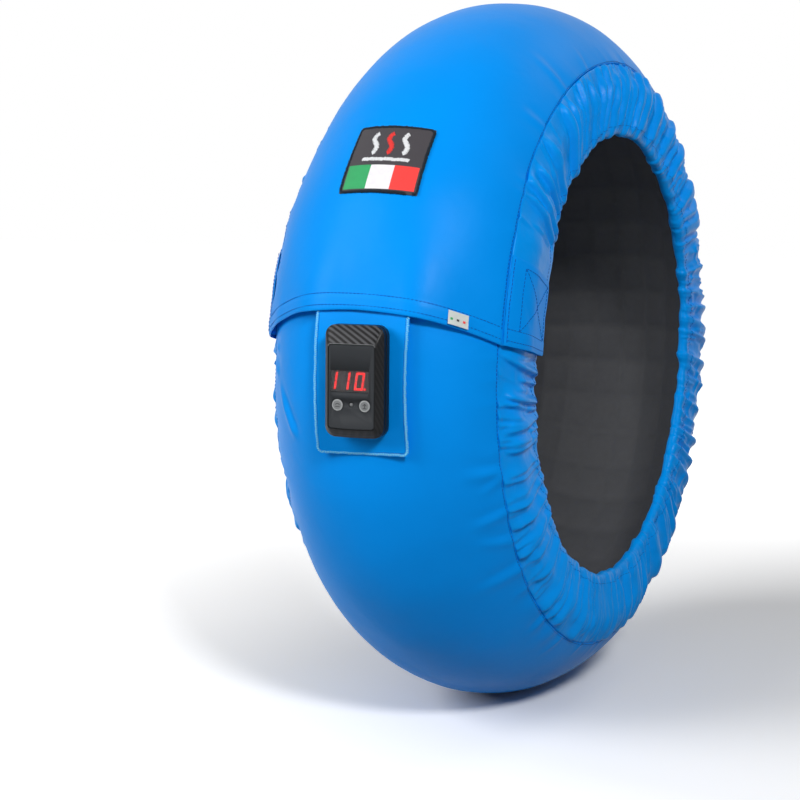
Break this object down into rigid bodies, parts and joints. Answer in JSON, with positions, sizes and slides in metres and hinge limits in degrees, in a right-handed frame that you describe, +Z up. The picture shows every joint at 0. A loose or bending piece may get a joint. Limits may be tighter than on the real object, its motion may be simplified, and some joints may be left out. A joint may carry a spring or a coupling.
{
  "type": "motorcycle tyre warmer",
  "caption": "Ring-shaped electric tyre warmer for a rear motorcycle wheel, with gathered side skirts and a control unit with display.",
  "frame": {"origin": "centre of the ring, on the axle of the wheel that it is wrapped round", "axes": "+X along the axle to the right, +Y to the rear, +Z up; the control unit is at the front, facing -Y"},
  "size_m": [0.2442, 0.6944, 0.67],
  "materials": {
    "cover_nylon": "coated nylon, satin",
    "skirt_nylon": "thin coated nylon, glossy folds",
    "hook_and_loop": "nylon pile",
    "elastic": "woven elastic",
    "felt": "needled felt",
    "lining": "woven aramid, quilted",
    "heating_tape": "carbon fibre tape",
    "label": "woven label",
    "tag": "satin ribbon",
    "shell_plastic": "textured black",
    "face_plastic": "satin charcoal",
    "key_plastic": "satin grey",
    "display_glass": "smoked",
    "rubber": "moulded",
    "steel": "zinc plated",
    "board": "solder mask",
    "module_plastic": "moulded",
    "lead_jacket": "silicone"
  },
  "bodies": {
    "warmer": {"outer_cover": "cover_nylon", "insulation_felt": "felt", "inner_lining": "lining", "heating_tape": "heating_tape", "closure_loop_tape": "hook_and_loop", "closure_hook_tape": "hook_and_loop", "skirt_left": "skirt_nylon", "skirt_right": "skirt_nylon", "hem_elastic_left": "elastic", "hem_elastic_right": "elastic", "tab_loop_left": "hook_and_loop", "tab_hook_left": "hook_and_loop", "corner_tab_left": "skirt_nylon", "tab_loop_right": "hook_and_loop", "tab_hook_right": "hook_and_loop", "corner_tab_right": "skirt_nylon", "pod_patch": "cover_nylon", "woven_label": "label", "hem_tag": "tag", "pod_seat": "rubber", "pod_back_shell": "shell_plastic", "pod_gasket": "rubber", "pod_front_shell": "shell_plastic", "pod_overlay": "face_plastic", "display_window": "display_glass", "display_module": "module_plastic", "switch_left": "shell_plastic", "switch_right": "shell_plastic", "indicator_light": "display_glass", "circuit_board": "board", "power_relay": "shell_plastic", "terminal_block": "module_plastic", "shell_screw_1": "steel", "shell_screw_2": "steel", "shell_screw_3": "steel", "shell_screw_4": "steel", "pod_rivet_1": "steel", "pod_rivet_2": "steel", "pod_rivet_3": "steel", "pod_rivet_4": "steel", "backing_plate": "steel", "heater_terminal_left": "steel", "heater_terminal_right": "steel", "heater_lead_left": "lead_jacket", "heater_lead_right": "lead_jacket", "temperature_sensor": "steel", "mains_gland": "rubber", "mains_lead_inner": "rubber"},
    "button_left": {"button_left": "key_plastic"},
    "button_right": {"button_right": "key_plastic"}
  },
  "joints": [
    {"name": "button_left_press", "type": "slide", "parent": "warmer", "child": "button_left", "axis": [-0.0802, 0.9966, -0.0209], "range_m": [0, 0.0006], "stiffness_N_per_m": 500},
    {"name": "button_right_press", "type": "slide", "parent": "warmer", "child": "button_right", "axis": [-0.0802, 0.9966, -0.0209], "range_m": [0, 0.0006], "stiffness_N_per_m": 500}
  ]
}
